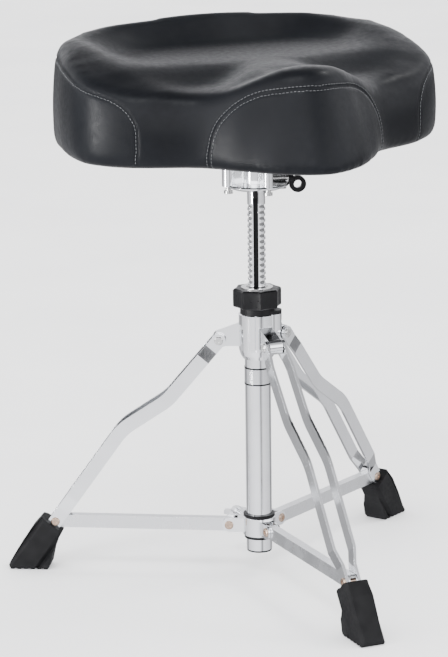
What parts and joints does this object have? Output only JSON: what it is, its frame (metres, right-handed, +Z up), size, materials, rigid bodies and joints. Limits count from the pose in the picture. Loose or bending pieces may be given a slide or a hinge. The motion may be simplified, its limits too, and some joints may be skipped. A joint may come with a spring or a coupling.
{
  "type": "drum throne",
  "caption": "Height-adjustable drum throne with a padded saddle seat, a screw post and a folding double-braced tripod.",
  "frame": {"origin": "on the post's axis, on the floor plane that the three rubber feet stand on", "axes": "+Z up along the post; the nose of the seat and one leg point along -Y; +X is the sitter's left-hand side seen from the front, where the clamp key is"},
  "size_m": [0.5022, 0.4364, 0.608],
  "materials": {
    "vinyl": "satin",
    "foam": "matte",
    "plywood": "matte",
    "lining_cloth": "matte",
    "chrome": "polished",
    "plated_steel": "satin",
    "black_nylon": "satin",
    "black_plastic": "satin",
    "rubber": "matte",
    "badge_metal": "satin"
  },
  "bodies": {
    "base": {"base_tube": "chrome", "tube_plug": "black_nylon", "top_casting": "chrome", "guide_bushing": "black_nylon", "rod_key": "plated_steel", "lock_screw": "plated_steel", "badge_band": "badge_metal", "badge_rings": "black_plastic", "front_hinge_bush": "black_nylon", "right_hinge_bush": "black_nylon", "left_hinge_bush": "black_nylon"},
    "rod": {"threaded_rod": "chrome"},
    "height_nut": {"nut_grip": "black_plastic", "nut_insert": "plated_steel"},
    "seat": {"seat_cover": "vinyl", "seat_foam": "foam", "seat_board": "plywood", "bottom_cloth": "lining_cloth", "tee_nuts": "plated_steel", "seat_bolts": "plated_steel", "seat_bracket": "chrome"},
    "clamp": {"clamp_screw": "plated_steel", "clamp_key": "black_plastic"},
    "collar": {"collar": "chrome", "collar_bushing_top": "black_nylon", "collar_bushing_bottom": "black_nylon", "front_collar_rivet": "plated_steel", "right_collar_rivet": "plated_steel", "left_collar_rivet": "plated_steel"},
    "collar_wing": {"wing_bolt": "chrome"},
    "front_stay": {"front_stay": "chrome"},
    "front_leg": {"front_leg_bar_a": "chrome", "front_leg_bar_b": "chrome", "front_top_stubs": "plated_steel", "front_foot_rivet": "plated_steel", "front_rubber_foot": "rubber"},
    "right_stay": {"right_stay": "chrome"},
    "right_leg": {"right_leg_bar_a": "chrome", "right_leg_bar_b": "chrome", "right_top_stubs": "plated_steel", "right_foot_rivet": "plated_steel", "right_rubber_foot": "rubber"},
    "left_stay": {"left_stay": "chrome"},
    "left_leg": {"left_leg_bar_a": "chrome", "left_leg_bar_b": "chrome", "left_top_stubs": "plated_steel", "left_foot_rivet": "plated_steel", "left_rubber_foot": "rubber"}
  },
  "joints": [
    {"name": "height_slide", "type": "slide", "parent": "base", "child": "rod", "axis": [0, 0, 1], "range_m": [-0.09, 0.05]},
    {"name": "height_nut_spin", "type": "hinge", "parent": "base", "child": "height_nut", "pos_m": [0, 0, 0.3155], "axis": [0, 0, 1], "range_deg": [-2770, 4985]},
    {"name": "seat_swivel", "type": "hinge", "parent": "rod", "child": "seat", "pos_m": [0, 0, 0.45], "axis": [0, 0, 1], "continuous": true},
    {"name": "clamp_turn", "type": "hinge", "parent": "seat", "child": "clamp", "pos_m": [0, 0, 0.447], "axis": [0.9659, -0.2588, 0], "continuous": true},
    {"name": "collar_slide", "type": "slide", "parent": "base", "child": "collar", "axis": [0, 0, 1], "range_m": [0, 0.12511]},
    {"name": "collar_wing_turn", "type": "hinge", "parent": "collar", "child": "collar_wing", "pos_m": [0, 0.05, 0.052], "axis": [0, 1, 0], "continuous": true},
    {"name": "front_stay_fold", "type": "hinge", "parent": "collar", "child": "front_stay", "pos_m": [0, -0.0333, 0.0547], "axis": [1, 0, 0], "range_deg": [0, 84.78]},
    {"name": "front_leg_fold", "type": "hinge", "parent": "front_stay", "child": "front_leg", "pos_m": [0, -0.2295, 0.0553], "axis": [1, 0, 0], "range_deg": [-45.33, 0]},
    {"name": "right_stay_fold", "type": "hinge", "parent": "collar", "child": "right_stay", "pos_m": [0.02884, 0.01665, 0.0547], "axis": [-0.5, 0.866, 0], "range_deg": [0, 84.78]},
    {"name": "right_leg_fold", "type": "hinge", "parent": "right_stay", "child": "right_leg", "pos_m": [0.19875, 0.11475, 0.0553], "axis": [-0.5, 0.866, 0], "range_deg": [-45.33, 0]},
    {"name": "left_stay_fold", "type": "hinge", "parent": "collar", "child": "left_stay", "pos_m": [-0.02884, 0.01665, 0.0547], "axis": [-0.5, -0.866, 0], "range_deg": [0, 84.78]},
    {"name": "left_leg_fold", "type": "hinge", "parent": "left_stay", "child": "left_leg", "pos_m": [-0.19875, 0.11475, 0.0553], "axis": [-0.5, -0.866, 0], "range_deg": [-45.33, 0]}
  ],
  "couplings": [
    {"joint": "height_nut_spin", "follows": "height_slide", "rad_per_m": -966.64},
    {"joint": "front_stay_fold", "follows": "collar_slide", "rad_per_m": 11.825},
    {"joint": "front_leg_fold", "follows": "collar_slide", "rad_per_m": -6.3214},
    {"joint": "right_stay_fold", "follows": "collar_slide", "rad_per_m": 11.825},
    {"joint": "right_leg_fold", "follows": "collar_slide", "rad_per_m": -6.3214},
    {"joint": "left_stay_fold", "follows": "collar_slide", "rad_per_m": 11.825},
    {"joint": "left_leg_fold", "follows": "collar_slide", "rad_per_m": -6.3214}
  ]
}
